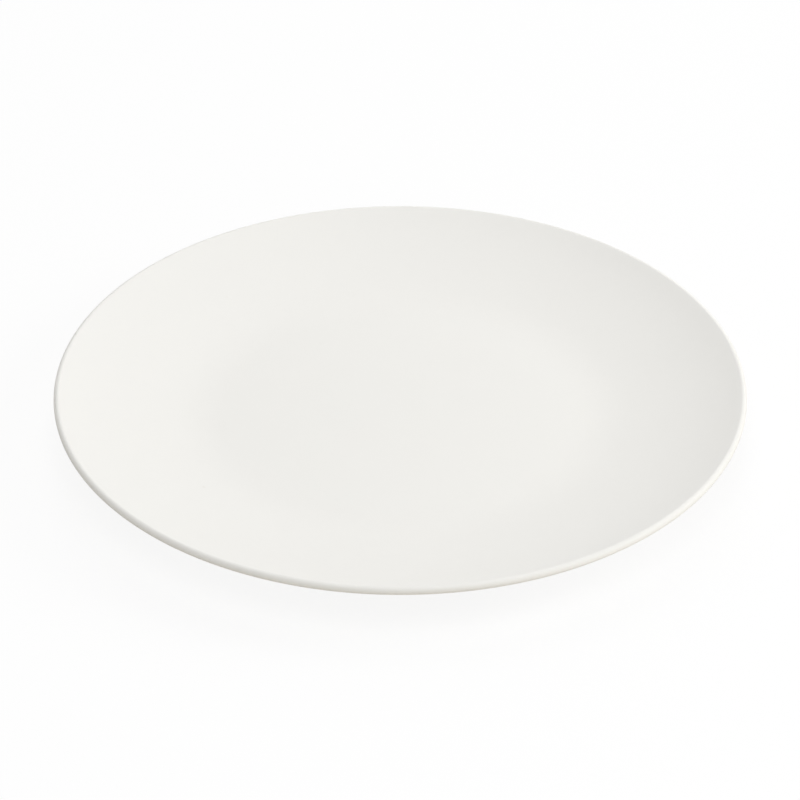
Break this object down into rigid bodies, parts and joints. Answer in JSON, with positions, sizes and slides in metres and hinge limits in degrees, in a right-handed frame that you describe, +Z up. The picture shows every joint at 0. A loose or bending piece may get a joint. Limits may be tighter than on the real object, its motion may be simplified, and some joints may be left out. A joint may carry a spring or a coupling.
{
  "type": "breakfast plate",
  "caption": "Round rimless plate with a flat well, a wall that rises gently and turns up to a half-round lip, and a low foot ring, in satin white glazed ceramic, for serving breakfast.",
  "frame": {"origin": "centre of the foot ring's standing plane, on the plate's own axis", "axes": "+Z up along the plate's axis of symmetry, out of the well; the plate is round, so +X and +Y are any two square directions across it"},
  "size_m": [0.22, 0.22, 0.0191],
  "materials": {
    "glaze": "satin white glaze with a faint warm tint, no decoration",
    "clay": "bare fired clay, fine and slightly rough, off-white"
  },
  "bodies": {
    "root": {"clay_body": "clay", "plate_glaze": "glaze", "recess_glaze": "glaze"}
  },
  "joints": []
}
